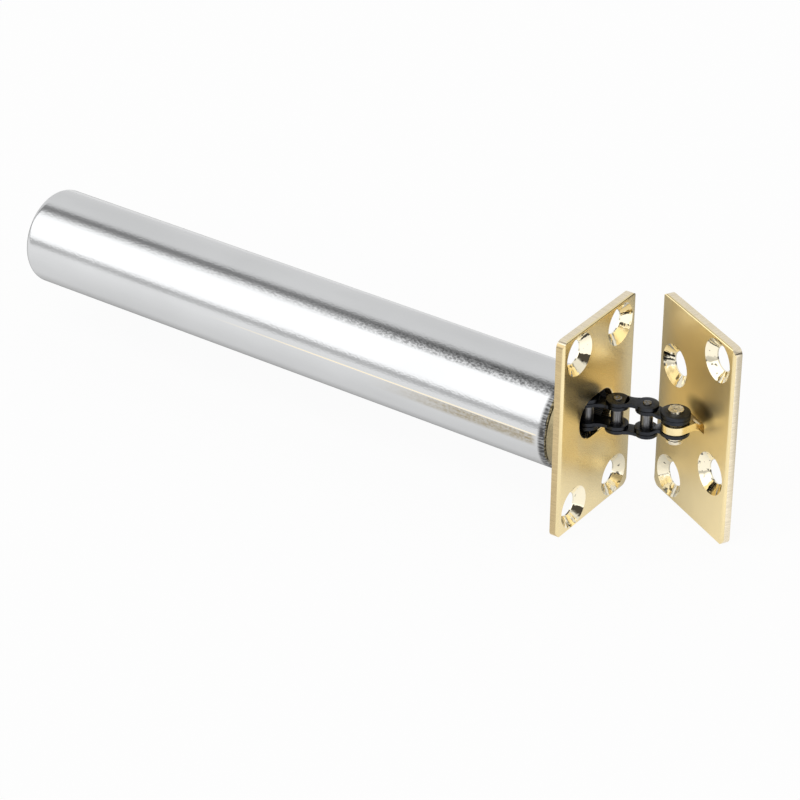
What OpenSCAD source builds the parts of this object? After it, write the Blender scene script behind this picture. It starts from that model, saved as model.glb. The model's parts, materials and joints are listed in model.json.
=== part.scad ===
// Concealed chain door closer: a spring tube for a bored door edge, and an anchor plate on a short chain.
// Origin: centre of the face plate's front face. +X points out of the door along the tube, +Z is up.

/* [Tube] */
// Outer diameter of the tube
tube_d = 28; // [26:0.5:32]
// Wall of the tube
tube_wall = 1.5; // [1:0.1:2]
// Distance from the face plate's back to the tube's rear end
tube_l = 186.3; // [176:0.1:210]
// Outer radius of the tube's closed rear corner
tube_rear_r = 2.5; // [2.1:0.1:4]
// Outer radius of the tube's front corner
tube_front_r = 1.4; // [0.3:0.1:1.4]
// Length of the collar's flange, between the plate and the tube
flange_l = 4.7; // [3:0.1:6]
// Step from the tube's outside down to the flange
flange_step = 0.5; // [0.3:0.1:0.8]
// Thinnest wall of the collar beside the chain's slot
collar_web = 0.65; // [0.5:0.05:1]

/* [Plates] */
// Width of both plates
plate_w = 35.4; // [34:0.2:42]
// Height of both plates
plate_h = 59.8; // [58:0.2:66]
// Thickness of both plates
plate_t = 2.5; // [1.8:0.1:3]
// Radius of the plates' tighter corners
plate_corner_r = 2; // [1:0.5:4]
// Radius of the plates' rounder corners
plate_round_r = 4; // [3:0.5:6]
// Radius along the plates' long front edges
plate_edge_r = 0.85; // [0.3:0.05:1.2]
// Radius along the plates' short front edges
plate_end_r = 0.6; // [0.3:0.05:1.2]
// Screw hole diameter
screw_d = 6.8; // [5:0.2:7]
// Countersink diameter at the front face
screw_head_d = 12; // [9:0.2:12.4]
// Depth of the straight hole left under the countersink
screw_land = 0.4; // [0.3:0.1:1]
// Side to side distance between screw rows
screw_span_y = 20; // [18:0.5:22]
// Top to bottom distance between the face plate's screws
screw_span_z = 46.8; // [44:0.2:48]
// Height of the anchor plate's inner screws from its centre
screw_inner_z = 11.3; // [10:0.1:13]
// Height of the anchor plate's outer screws from its centre
screw_outer_z = 23.2; // [22:0.1:24]

/* [Chain slot] */
// Room at each side of a link in the slot
slot_side_room = 5.2; // [4:0.05:6]
// Room above and below the end pin in the slot
slot_top_room = 0.7; // [0.4:0.05:1]
// Rounding of the slot's rim
slot_rim = 0.5; // [0.3:0.1:0.7]
// Height of the chain's middle above the plates' centres
chain_z = 0.8; // [0.4:0.1:1.2]

/* [Chain] */
// Distance between neighbouring pins
pitch = 8; // [7.6:0.1:9]
// Diameter of a link plate's round ends
lobe_d = 6.3; // [5.8:0.1:6.4]
// Radius of the waist between the round ends
waist_r = 4.4; // [3.5:0.1:6]
// Thickness of a link plate
link_t = 1; // [0.8:0.05:1.1]
// Clear width between the inner plates
link_gap = 5; // [4.6:0.1:5.4]
// Clearance between an inner and an outer plate
link_clear = 0.2; // [0.15:0.05:0.3]
// Outer diameter of a bush
bush_d = 3.4; // [3:0.1:3.8]
// Diameter of a chain pin
pin_d = 2.3; // [2:0.1:2.5]
// Height that a chain pin stands proud of its plate
pin_proud = 0.4; // [0.2:0.1:0.5]

/* [Chain pose] */
// Distance of the yoke's pin behind the face plate's front
yoke_pin_back = 3; // [1:0.1:4]
// Direction of the first link, seen from above
link_a_yaw = 21.5; // [15:0.1:31]
// Direction of the second link, seen from above
link_b_yaw = 19; // [10:0.1:22]
// Direction of the third link, seen from above
link_c_yaw = 10.7; // [5:0.1:14]
// Direction that the anchor plate faces, seen from above
anchor_yaw = -117.9; // [-124:0.1:-112]

/* [End pin and tongue] */
// Diameter of the end link's round end at the anchor
end_disc_d = 8; // [7.6:0.1:8.4]
// Diameter of the end pin
end_pin_d = 3.2; // [2.8:0.1:3.4]
// Height of the end link's upper plate above the chain's middle, at the end pin
end_plate_z = 2; // [1.9:0.1:2.4]
// Thickness of the washer under the end pin's head
end_washer_t = 1.2; // [0.8:0.1:1.2]
// Diameter of the end pin's riveted head
end_head_d = 4.2; // [4:0.1:5]
// Height of the end pin's riveted head
end_head_h = 0.9; // [0.7:0.1:1.1]
// Width of the riveted head's sloped edge
end_head_slope = 0.3; // [0.2:0.05:0.5]
// Diameter of the end pin's foot
end_foot_d = 4.7; // [4.4:0.1:5.4]
// Height of the end pin's foot
end_foot_h = 1; // [0.8:0.1:1.2]
// Diameter of the collar between the foot and the lower plate
end_collar_d = 4.1; // [3.8:0.1:4.2]
// Height of that collar
end_collar_h = 1.6; // [1:0.1:1.8]
// Thickness of the tongue
tongue_t = 2.2; // [1.8:0.1:2.6]
// Diameter of the tongue's eye
tongue_eye_d = 7.6; // [6.8:0.1:8]
// Width of the tongue where it enters the plate
tongue_root_w = 5.6; // [4.4:0.1:6.4]
// Distance from the end pin's axis to the anchor plate's front face
tongue_reach = 6.28; // [5.4:0.02:7]
// Height that the tongue falls between its eye and the plate
tongue_fall = 1; // [0.6:0.1:1.2]
// Width of the tongue's cross bar in the plate's back
tongue_bar_w = 13; // [12:0.5:15]
// Depth of the cross bar and of its pocket
tongue_bar_t = 0.9; // [0.6:0.1:1]
// Side distance of the end pin from the anchor plate's middle
tongue_side = 1.54; // [0:0.02:2]
// Room beside the tongue in the anchor plate's slot
tongue_slot_room = 1.6; // [1:0.1:3]
// Room above the tongue in the anchor plate's slot
tongue_slot_head = 0.7; // [0.4:0.1:1.2]
// Radius of the slot's open corner
slot_corner_r = 0.8; // [0.4:0.1:1.2]

/* [Spring and draw gear] */
// Diameter of the spring wire
wire_d = 2.2; // [1.8:0.1:2.3]
// Working turns of the spring
spring_turns = 21; // [16:1:24]
// Gap between the spring and the tube's bore
spring_room = 0.4; // [0.3:0.05:0.6]
// Thickness of a spring seat washer
seat_t = 1; // [0.8:0.1:1.5]
// Length of the front collar with its flange
collar_l = 14; // [12:0.5:18]
// Wall of the chain guide's liner
guide_wall = 0.7; // [0.5:0.05:0.8]
// Thickness of the chain guide's rear flange
guide_flange_t = 1; // [0.8:0.1:1.5]
// Diameter of the draw rod
rod_d = 5; // [4:0.5:5.5]
// Length of the plunger's body
plunger_l = 12; // [10:0.5:16]
// Length of the plunger's spigot in the spring
spigot_l = 6; // [4:0.5:8]
// Gap between the spigot and the spring
spigot_room = 0.5; // [0.4:0.1:1]
// Depth of the plunger ring's groove
ring_t = 1.2; // [0.8:0.1:1.6]
// Thickness of the rear buffer
buffer_t = 3; // [2:0.5:4]
// Hole in the middle of the rear buffer
buffer_hole_d = 6; // [4:0.5:8]
// Length of the rod's thread in front of the plunger's spigot
thread_l = 24; // [23:1:30]
// Depth of the thread's groove
thread_depth = 0.3; // [0.2:0.05:0.4]
// Length of the yoke's solid block
yoke_block_l = 9; // [8:0.5:12]
// Wall between the yoke's fork and the bore for the rod
yoke_floor = 1; // [0.5:0.1:2]
// Width across the lock nut's flats
lock_nut_af = 8; // [7.5:0.5:8.5]
// Length of the lock nut
lock_nut_l = 4; // [3:0.5:5]
// Length of the stop nut at the rod's rear end
stop_nut_l = 3; // [2.5:0.5:4]
// Diameter of the stop nut
stop_nut_d = 8; // [7.5:0.5:9]
// Play of the stop nut in the plunger's pocket
stop_nut_room = 0.5; // [0.4:0.1:1]

/* [Fits] */
// Running clearance of a pin in its bush, on the radius
run_clear = 0.05; // [0.02:0.01:0.1]
// Clearance of a pressed or brazed joint, on the radius
fit_clear = 0.01; // [0.005:0.005:0.02]
// Clearance between pieces that slide or swing past each other
move_clear = 0.3; // [0.2:0.05:0.35]

/* [Hidden] */
$fn = 64;
corner_fn = 32;
// How far a cut reaches past what it cuts
over = 1;
// Thickness of a slice that a hull starts or ends with
slice = 0.01;
tube_r = tube_d / 2;
bore_r = tube_r - tube_wall;
lobe_r = lobe_d / 2;
pin_r = pin_d / 2;
bush_r = bush_d / 2;
end_r = end_disc_d / 2;
rod_r = rod_d / 2;
rod_core_r = rod_r - thread_depth;

// Heights in the chain, measured from its middle plane
inner_face = link_gap / 2;
inner_back = inner_face + link_t;
outer_face = inner_back + link_clear;
outer_back = outer_face + link_t;
pin_end = outer_back + pin_proud;
end_lower_z = tongue_t / 2 + link_clear;
washer_foot = end_plate_z + link_t;
washer_top = washer_foot + end_washer_t;
head_top = washer_top + end_head_h;
collar_top = end_lower_z + link_t;
foot_end = collar_top + end_collar_h + end_foot_h;
stack_half = max(pin_end, max(head_top, foot_end));

slot_w = lobe_d + 2 * slot_side_room;
slot_h = 2 * (stack_half + slot_top_room);
slot_flat = (slot_w - slot_h) / 2;

// The tube's axis lies below the chain, as far as the collar's wall beside the slot lets it
slot_reach = bore_r - collar_web - guide_wall - slot_h / 2;
tube_drop = sqrt(slot_reach * slot_reach - slot_flat * slot_flat) - chain_z;

// Places of the chain's pins, seen from above
function ahead(p, yaw, d) = [p[0] + d * cos(yaw), p[1] + d * sin(yaw)];
p0 = [-yoke_pin_back, 0];
p1 = ahead(p0, link_a_yaw, pitch);
p2 = ahead(p1, link_b_yaw, pitch);
p3 = ahead(p2, link_c_yaw, pitch);

// Draw gear, measured behind the face plate's back along the tube
guide_end = collar_l + guide_flange_t;
seat_end = guide_end + seat_t;
bore_end = tube_l - tube_wall;
plunger_back = bore_end - buffer_t;
plunger_front = plunger_back - plunger_l;
spigot_front = plunger_front - spigot_l;
plunger_r = bore_r - move_clear;
ring_l = plunger_l / 2;
ring_front = plunger_front + (plunger_l - ring_l) / 2;
spring_r = bore_r - spring_room - wire_d / 2;
spring_core_r = spring_r - wire_d / 2;
spigot_r = spring_core_r - spigot_room;
yoke_back = yoke_pin_back - plate_t + lobe_r + move_clear + yoke_block_l;
rod_start = yoke_back - yoke_block_l + yoke_floor;
rod_end = plunger_back - stop_nut_room;
thread_start = spigot_front - thread_l;

steel = "#c9ccce";
bright = "#dfe1e2";
brass = "#d8b978";
black = "#26272b";
nylon = "#17181a";
rubber = "#303030";
dull = "#8f9296";

// Local Z runs backwards along the tube's axis, from the face plate's back
module along_tube() {
    translate([-plate_t, 0, -tube_drop]) rotate([0, -90, 0]) children();
}

// The same along the line that the chain is drawn on
module along_chain() {
    translate([-plate_t, 0, chain_z]) rotate([0, -90, 0]) children();
}

// Local X runs along a link from the pin at p
module at_link(p, yaw) {
    translate([p[0], p[1], chain_z]) rotate([0, 0, yaw]) children();
}

// Local X is the direction that the anchor plate faces, from the end pin's axis
module at_anchor() {
    at_link(p3, anchor_yaw) children();
}

module ring(r_out, r_in, h) {
    difference() {
        cylinder(r = r_out, h = h);
        translate([0, 0, -over]) cylinder(r = r_in, h = h + 2 * over);
    }
}

// Upright oblong with round ends, wide along Y and tall along X
module oblong(w, h, grow = 0) {
    flat = (w - h) / 2;
    for (s = [-1, 1]) translate([0, s * flat]) circle(d = h + 2 * grow);
    square([h + 2 * grow, 2 * flat], center = true);
}

// Section through a plate, its two front edges rounded
module plate_section(width, edge_r) {
    flat = width / 2 - edge_r;
    translate([-width / 2, -plate_t]) square([width, plate_t - edge_r]);
    translate([-flat, -plate_t]) square([2 * flat, plate_t]);
    for (x = [-flat, flat]) translate([x, -edge_r]) circle(r = edge_r, $fn = corner_fn);
}

// Plate blank: local X to the side, local Y up, its front face at local Z = 0.
// The corner radii are given from the top right round by the left.
module plate_blank(corners) {
    sides = [[1, 1], [-1, 1], [-1, -1], [1, -1]];
    intersection() {
        rotate([90, 0, 0]) translate([0, 0, -plate_h / 2]) linear_extrude(plate_h)
            plate_section(plate_w, plate_edge_r);
        rotate([90, 0, 90]) translate([0, 0, -plate_w / 2]) linear_extrude(plate_w)
            plate_section(plate_h, plate_end_r);
        translate([0, 0, -plate_t - over]) linear_extrude(plate_t + 2 * over) hull()
            for (i = [0:3]) translate([sides[i][0] * (plate_w / 2 - corners[i]),
                sides[i][1] * (plate_h / 2 - corners[i])]) circle(r = corners[i]);
    }
}

// Countersunk screw hole through a plate
module screw_hole(x, y) {
    sink = plate_t - screw_land;
    slope = (screw_head_d - screw_d) / 2 / sink;
    translate([x, y, -plate_t - over]) cylinder(d = screw_d, h = plate_t + 2 * over);
    translate([x, y, -sink])
        cylinder(d1 = screw_d, d2 = screw_head_d + 2 * over * slope, h = sink + over);
}

// Stands a plate up: local X goes to Y, local Y to Z and local Z to X
module upright() {
    rotate([90, 0, 90]) children();
}

module tube() {
    inner_rear_r = tube_rear_r - tube_wall;
    front_flat = flange_l + tube_front_r;
    color(steel) along_tube() rotate_extrude() difference() {
        union() {
            translate([0, front_flat])
                square([tube_r, tube_l - front_flat - tube_rear_r]);
            translate([0, flange_l])
                square([tube_r - tube_front_r, tube_l - flange_l - tube_rear_r]);
            translate([0, tube_l - 2 * tube_rear_r])
                square([tube_r - tube_rear_r, 2 * tube_rear_r]);
            translate([tube_r - tube_front_r, front_flat]) circle(r = tube_front_r);
            translate([tube_r - tube_rear_r, tube_l - tube_rear_r]) circle(r = tube_rear_r);
        }
        translate([0, -over]) square([bore_r, bore_end - inner_rear_r + over]);
        translate([0, -over]) square([bore_r - inner_rear_r, bore_end + over]);
        translate([bore_r - inner_rear_r, bore_end - inner_rear_r]) circle(r = inner_rear_r);
    }
}

// Rubber buffer that the plunger rests on
module rear_buffer() {
    pad_r = bore_r - (tube_rear_r - tube_wall) - move_clear;
    color(rubber) along_tube() translate([0, 0, plunger_back])
        ring(pad_r, buffer_hole_d / 2, buffer_t);
}

// Collar pressed into the tube's front, with a flange brazed to the face plate
module front_collar() {
    color(brass) difference() {
        along_tube() {
            cylinder(r = tube_r - flange_step, h = flange_l - fit_clear);
            cylinder(r = bore_r - fit_clear, h = collar_l);
        }
        along_chain() translate([0, 0, -over])
            linear_extrude(collar_l + 2 * over) oblong(slot_w, slot_h, guide_wall + fit_clear);
    }
}

// Nylon liner that the chain runs through, with a flange under the spring seat
module chain_guide() {
    color(nylon) difference() {
        union() {
            along_chain() linear_extrude(collar_l) oblong(slot_w, slot_h, guide_wall);
            along_tube() translate([0, 0, collar_l])
                cylinder(r = bore_r - move_clear, h = guide_flange_t);
        }
        along_chain() translate([0, 0, -over])
            linear_extrude(guide_end + 2 * over) oblong(slot_w, slot_h);
    }
}

module face_plate() {
    tight = plate_corner_r;
    color(brass) difference() {
        upright() plate_blank([tight, tight, tight, plate_round_r]);
        upright() for (x = [-1, 1], y = [-1, 1])
            screw_hole(x * screw_span_y / 2, y * screw_span_z / 2);
        translate([-plate_t - over, 0, chain_z]) rotate([0, 90, 0])
            linear_extrude(plate_t + 2 * over) oblong(slot_w, slot_h);
        translate([-slot_rim, 0, chain_z]) rotate([0, 90, 0]) hull() {
            linear_extrude(slice) oblong(slot_w, slot_h, $fn = corner_fn);
            translate([0, 0, 2 * slot_rim])
                linear_extrude(slice) oblong(slot_w, slot_h, 2 * slot_rim, $fn = corner_fn);
        }
    }
}

module front_spring_seat() {
    color(dull) along_tube() translate([0, 0, guide_end])
        ring(bore_r - move_clear, spring_core_r, seat_t);
}

// Compression spring with a closed turn at each end, swept as one tube
module main_spring() {
    sides = 6;
    per_turn = 12;
    end_gap = 0.5;
    end_pitch = wire_d + end_gap;
    wire_r = wire_d / 2;
    first = seat_end + wire_r + fit_clear;
    last = plunger_front - seat_t - wire_r - fit_clear;
    work_pitch = (last - first - 2 * end_pitch) / spring_turns;
    turns = spring_turns + 2;
    rings = turns * per_turn;
    function lift(t) = first + (t < 1 ? t * end_pitch
        : t < turns - 1 ? end_pitch + (t - 1) * work_pitch
        : end_pitch + spring_turns * work_pitch + (t - turns + 1) * end_pitch);
    points = [for (i = [0:rings], k = [0:sides - 1])
        let (t = i / per_turn, a = 360 * t, b = 360 * (k + 0.5) / sides,
            r = spring_r + wire_r * cos(b))
        [r * cos(a), r * sin(a), lift(t) + wire_r * sin(b)]];
    walls = [for (i = [0:rings - 1], k = [0:sides - 1])
        let (a = i * sides + k, b = i * sides + (k + 1) % sides)
        each [[a, b, a + sides], [b, b + sides, a + sides]]];
    cap_a = [for (k = [1:sides - 2]) [0, k + 1, k]];
    cap_b = [for (k = [1:sides - 2]) [rings * sides, rings * sides + k, rings * sides + k + 1]];
    color(steel) along_tube() polyhedron(points = points, faces = concat(walls, cap_a, cap_b));
}

// Draw rod, threaded where the plunger screws along it
module draw_rod() {
    color(dull) along_chain() {
        translate([0, 0, rod_start]) cylinder(r = rod_r, h = thread_start - rod_start);
        translate([0, 0, rod_start]) cylinder(r = rod_core_r, h = rod_end - rod_start);
    }
}

// Nut riveted on the rod's end, so that the plunger can't run off
module rod_stop_nut() {
    color(dull) along_chain() translate([0, 0, rod_end - stop_nut_l])
        ring(stop_nut_d / 2, rod_core_r + fit_clear, stop_nut_l);
}

// Hexagon nut that locks the rod in the yoke
module lock_nut() {
    color(dull) along_chain() translate([0, 0, yoke_back]) difference() {
        cylinder(d = lock_nut_af / cos(30), h = lock_nut_l, $fn = 6);
        translate([0, 0, -over]) cylinder(r = rod_r + fit_clear, h = lock_nut_l + 2 * over);
    }
}

// Fork at the rod's front end that takes the chain's first link
module chain_yoke() {
    color(black) difference() {
        union() {
            at_link(p0, 0) translate([0, 0, -outer_back]) cylinder(r = lobe_r, h = 2 * outer_back);
            translate([-plate_t - yoke_back, -lobe_r, chain_z - outer_back])
                cube([plate_t + yoke_back + p0[0], lobe_d, 2 * outer_back]);
        }
        at_link(p0, 0) translate([0, 0, -outer_face])
            cylinder(r = lobe_r + move_clear, h = 2 * outer_face);
        translate([p0[0], -lobe_r - over, chain_z - outer_face])
            cube([lobe_d, lobe_d + 2 * over, 2 * outer_face]);
        at_link(p0, 0) translate([0, 0, -outer_back - over])
            cylinder(r = pin_r + fit_clear, h = 2 * (outer_back + over));
        along_chain() translate([0, 0, rod_start]) cylinder(r = rod_r + fit_clear, h = yoke_back);
    }
}

// Chain pin with slightly domed ends
module chain_pin() {
    dome = pin_proud / 2;
    translate([0, 0, -pin_end + dome]) cylinder(r = pin_r, h = 2 * (pin_end - dome));
    for (m = [0, 1]) mirror([0, 0, m]) translate([0, 0, pin_end - dome])
        cylinder(r1 = pin_r, r2 = pin_r - dome, h = dome);
}

module yoke_pin() {
    color(dull) at_link(p0, 0) chain_pin();
}

// Spring follower; its rod hole is off centre, so it can't turn in the tube
module plunger() {
    pocket_l = stop_nut_l + 2 * stop_nut_room;
    color(dull) difference() {
        along_tube() {
            translate([0, 0, plunger_front]) cylinder(r = plunger_r, h = plunger_l);
            translate([0, 0, spigot_front]) cylinder(r = spigot_r, h = spigot_l + plunger_l);
        }
        along_tube() translate([0, 0, ring_front]) ring(bore_r, plunger_r - ring_t, ring_l);
        along_chain() translate([0, 0, spigot_front - over])
            cylinder(r = rod_core_r + run_clear, h = spigot_l + plunger_l + 2 * over);
        along_chain() translate([0, 0, plunger_back - pocket_l])
            cylinder(r = stop_nut_d / 2 + move_clear, h = pocket_l + over);
    }
}

// Nylon ring that the plunger slides on
module plunger_ring() {
    color(nylon) along_tube() translate([0, 0, ring_front + fit_clear])
        ring(bore_r - run_clear, plunger_r - ring_t + fit_clear, ring_l - 2 * fit_clear);
}

module rear_spring_seat() {
    color(dull) along_tube() translate([0, 0, plunger_front - seat_t])
        ring(bore_r - move_clear, spigot_r + fit_clear, seat_t);
}

// Outline of a link from height z up, with round ends of radius ra and rb and a hole in each.
// The waists between the ends cut a trace into both.
module link_outline(z, h, ra, rb, hole_a, hole_b) {
    trace = 0.02;
    la = ra + waist_r - trace;
    lb = rb + waist_r - trace;
    cx = (pitch * pitch + la * la - lb * lb) / (2 * pitch);
    cy = sqrt(la * la - cx * cx);
    ax = (ra - trace) * cx / la;
    ay = (ra - trace) * cy / la;
    bx = pitch - (rb - trace) * (pitch - cx) / lb;
    by = (rb - trace) * cy / lb;
    translate([0, 0, z]) difference() {
        union() {
            cylinder(r = ra, h = h);
            translate([pitch, 0, 0]) cylinder(r = rb, h = h);
            linear_extrude(h) polygon([[ax, ay], [bx, by], [bx, -by], [ax, -ay]]);
        }
        for (s = [-1, 1]) translate([cx, s * cy, -over]) cylinder(r = waist_r, h = h + 2 * over);
        translate([0, 0, -over]) cylinder(r = hole_a, h = h + 2 * over);
        translate([pitch, 0, -over]) cylinder(r = hole_b, h = h + 2 * over);
    }
}

// Flat link plate from height z up
module link_plate(z, hole) {
    link_outline(z, link_t, lobe_r, lobe_r, hole, hole);
}

// Bush pressed through both inner plates
module bush() {
    translate([0, 0, -inner_back]) ring(bush_r, pin_r + run_clear, 2 * inner_back);
}

module link_a_plate(z) {
    hole = bush_r + fit_clear;
    color(black) at_link(p0, link_a_yaw) link_plate(z, hole);
}

module link_a_upper_plate() {
    link_a_plate(inner_face);
}

module link_a_lower_plate() {
    link_a_plate(-inner_back);
}

module link_a_bushes() {
    color(black) at_link(p0, link_a_yaw) for (x = [0, pitch]) translate([x, 0, 0]) bush();
}

module link_b_plate(z) {
    hole = pin_r + fit_clear;
    color(black) at_link(p1, link_b_yaw) link_plate(z, hole);
}

module link_b_upper_plate() {
    link_b_plate(outer_face);
}

module link_b_lower_plate() {
    link_b_plate(-outer_back);
}

module link_b_pins() {
    color(dull) at_link(p1, link_b_yaw) for (x = [0, pitch]) translate([x, 0, 0]) chain_pin();
}

// End link plate, cranked from height z at the bush to end_z at the end pin
module link_c_plate(z, end_z) {
    bend_start = bush_r + move_clear;
    bend_end = pitch - end_r;
    tip = pitch + end_r + over;
    low = min(z, end_z) - over;
    tall = abs(end_z - z) + link_t + 2 * over;
    color(black) at_link(p2, link_c_yaw) intersection() {
        link_outline(low, tall, lobe_r, end_r, bush_r + fit_clear, end_pin_d / 2 + fit_clear);
        translate([0, end_r + over, 0]) rotate([90, 0, 0]) linear_extrude(2 * (end_r + over))
            polygon([[-lobe_d, z], [bend_start, z], [bend_end, end_z], [tip, end_z],
                [tip, end_z + link_t], [bend_end, end_z + link_t], [bend_start, z + link_t],
                [-lobe_d, z + link_t]]);
    }
}

module link_c_upper_plate() {
    link_c_plate(inner_face, end_plate_z);
}

module link_c_lower_plate() {
    link_c_plate(-inner_back, -collar_top);
}

module link_c_bush() {
    color(black) at_link(p2, link_c_yaw) bush();
}

module end_washer() {
    color(black) at_link(p3, 0) translate([0, 0, washer_foot])
        ring(end_r, end_pin_d / 2 + fit_clear, end_washer_t);
}

// Washer that keeps the tongue down on the end link's lower plate
module tongue_spacer() {
    gap = end_plate_z - tongue_t / 2 - link_clear;
    color(dull) at_link(p3, 0) translate([0, 0, end_plate_z - gap])
        ring(end_foot_d / 2, end_pin_d / 2 + fit_clear, gap);
}

// Rivet through the end link and the tongue, with a peened head and a foot
module end_pin() {
    head_r = end_head_d / 2;
    color(bright) at_link(p3, 0) {
        translate([0, 0, -collar_top]) cylinder(d = end_pin_d, h = collar_top + washer_top);
        translate([0, 0, washer_top]) cylinder(r = head_r, h = end_head_h / 2);
        translate([0, 0, washer_top + end_head_h / 2])
            cylinder(r1 = head_r, r2 = head_r - end_head_slope, h = end_head_h / 2);
        translate([0, 0, -foot_end]) cylinder(d = end_foot_d, h = end_foot_h);
        translate([0, 0, -foot_end]) cylinder(d = end_collar_d, h = foot_end - collar_top);
    }
}

// Eye on the end pin, with a neck that falls to the anchor plate and a bar let into its back
module tongue() {
    root_x = -tongue_reach - plate_t;
    neck_x = end_r + link_clear;
    eye_r = tongue_eye_d / 2;
    neck_w = tongue_eye_d - (tongue_eye_d - tongue_root_w) * neck_x / tongue_reach;
    low = -tongue_t / 2 - tongue_fall;
    color(brass) at_anchor() difference() {
        union() {
            translate([0, 0, -tongue_t / 2]) cylinder(r = eye_r, h = tongue_t);
            translate([0, 0, -tongue_t / 2]) linear_extrude(tongue_t)
                polygon([[0, -eye_r], [0, eye_r], [-neck_x, neck_w / 2], [-neck_x, -neck_w / 2]]);
            hull() {
                translate([-neck_x, -neck_w / 2, -tongue_t / 2])
                    cube([slice, neck_w, tongue_t]);
                translate([-tongue_reach - slice, -tongue_root_w / 2, low])
                    cube([slice, tongue_root_w, tongue_t]);
            }
            translate([root_x, -tongue_root_w / 2, low]) cube([plate_t, tongue_root_w, tongue_t]);
            translate([root_x, -tongue_bar_w / 2, low])
                cube([tongue_bar_t - fit_clear, tongue_bar_w, tongue_t]);
        }
        translate([0, 0, -tongue_t]) cylinder(r = end_pin_d / 2 + run_clear, h = 2 * tongue_t);
    }
}

// Anchor plate, its screws staggered, with a slot for the tongue and a pocket for its bar
module anchor_plate() {
    slot_l = tongue_root_w + tongue_slot_room + fit_clear;
    slot_up = tongue_t + tongue_slot_head;
    low = -tongue_t / 2 - tongue_fall - fit_clear;
    left = tongue_side - tongue_root_w / 2 - fit_clear;
    tight = plate_corner_r;
    color(brass) at_anchor() translate([-tongue_reach, -tongue_side, 0]) difference() {
        translate([0, 0, -chain_z]) upright() difference() {
            plate_blank([tight, tight, plate_round_r, tight]);
            for (s = [-1, 1]) {
                screw_hole(s * screw_span_y / 2, s * screw_outer_z);
                screw_hole(-s * screw_span_y / 2, s * screw_inner_z);
            }
        }
        translate([-plate_t - over, left, low]) {
            cube([plate_t + 2 * over, slot_l, slot_up - slot_corner_r]);
            cube([plate_t + 2 * over, slot_l - slot_corner_r, slot_up]);
            translate([0, slot_l - slot_corner_r, slot_up - slot_corner_r])
                rotate([0, 90, 0]) cylinder(r = slot_corner_r, h = plate_t + 2 * over);
        }
        translate([-plate_t - over, tongue_side - tongue_bar_w / 2 - fit_clear, low])
            cube([tongue_bar_t + over, tongue_bar_w + 2 * fit_clear, tongue_t + 2 * fit_clear]);
    }
}

tube();
rear_buffer();
front_collar();
chain_guide();
face_plate();
front_spring_seat();
main_spring();
draw_rod();
rod_stop_nut();
lock_nut();
chain_yoke();
yoke_pin();
plunger();
plunger_ring();
rear_spring_seat();
link_a_upper_plate();
link_a_lower_plate();
link_a_bushes();
link_b_upper_plate();
link_b_lower_plate();
link_b_pins();
link_c_upper_plate();
link_c_lower_plate();
link_c_bush();
end_washer();
tongue_spacer();
end_pin();
tongue();
anchor_plate();
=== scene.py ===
"""Dresses a concealed door closer (tube, plates, chain and the gear inside) and sets up a studio."""

import json
import math

import bpy
from mathutils import Matrix, Vector


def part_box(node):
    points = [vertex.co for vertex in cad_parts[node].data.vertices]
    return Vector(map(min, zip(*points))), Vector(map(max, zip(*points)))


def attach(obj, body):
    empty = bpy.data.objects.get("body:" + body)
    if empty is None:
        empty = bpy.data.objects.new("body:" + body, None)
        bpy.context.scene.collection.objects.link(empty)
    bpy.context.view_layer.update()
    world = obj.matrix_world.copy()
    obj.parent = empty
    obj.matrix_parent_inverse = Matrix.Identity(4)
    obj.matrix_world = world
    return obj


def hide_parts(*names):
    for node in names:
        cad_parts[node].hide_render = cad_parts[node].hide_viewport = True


bl_info = {
    "name": "Concealed door closer",
    "version": (1, 0, 0),
    "blender": (4, 5, 0),
    "location": "View3D > Sidebar > Door closer",
    "description": "Models the pieces and finishes of a concealed door closer",
    "category": "Object",
}

MM = 0.001
# Sides of round pieces
ROUND = 96
FINE_ROUND = 192

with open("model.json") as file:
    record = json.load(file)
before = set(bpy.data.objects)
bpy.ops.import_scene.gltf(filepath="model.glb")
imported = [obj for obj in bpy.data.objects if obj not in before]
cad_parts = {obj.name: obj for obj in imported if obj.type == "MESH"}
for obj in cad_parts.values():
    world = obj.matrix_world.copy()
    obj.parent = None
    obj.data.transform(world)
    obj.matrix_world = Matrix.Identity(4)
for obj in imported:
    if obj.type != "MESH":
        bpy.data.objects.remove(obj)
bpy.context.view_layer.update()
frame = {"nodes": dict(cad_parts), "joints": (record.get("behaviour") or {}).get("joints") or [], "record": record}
RECORD = frame["record"]
MOUNTS = {m["name"]: m for m in RECORD["mounts"]}
JOINTS = {j["name"]: j for j in frame["joints"]}


def linear(hex_colour):
    """Turns an sRGB hex colour into linear red, green, blue and alpha."""
    values = [int(hex_colour[i : i + 2], 16) / 255 for i in (1, 3, 5)]
    return [v / 12.92 if v <= 0.04045 else ((v + 0.055) / 1.055) ** 2.4 for v in values] + [1.0]


def size_of(node):
    """Size of a CAD node's box."""
    low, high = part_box(node)
    return high - low


# Places that the frame gives
TUBE_LOW, TUBE_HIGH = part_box("tube")
TUBE_R = (TUBE_HIGH.y - TUBE_LOW.y) / 2
TUBE_Z = (TUBE_LOW.z + TUBE_HIGH.z) / 2
FACE_LOW, FACE_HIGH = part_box("face_plate")
PLATE_T = FACE_HIGH.x - FACE_LOW.x
CHAIN_Z = JOINTS["link_a_hinge"]["pos_m"][2]
PINS = [
    Vector(JOINTS[name]["pos_m"])
    for name in ("link_a_hinge", "link_b_hinge", "link_c_hinge", "anchor_hinge")
]
PITCH = (PINS[1] - PINS[0]).length
ANCHOR_NORMAL = Vector(MOUNTS["anchor_outer_screws"]["axis"])
ANCHOR_ASIDE = Vector((-ANCHOR_NORMAL.y, ANCHOR_NORMAL.x, 0))
ANCHOR_CENTRE = Vector(MOUNTS["anchor_outer_screws"]["pos_m"]) + ANCHOR_NORMAL * PLATE_T
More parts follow.
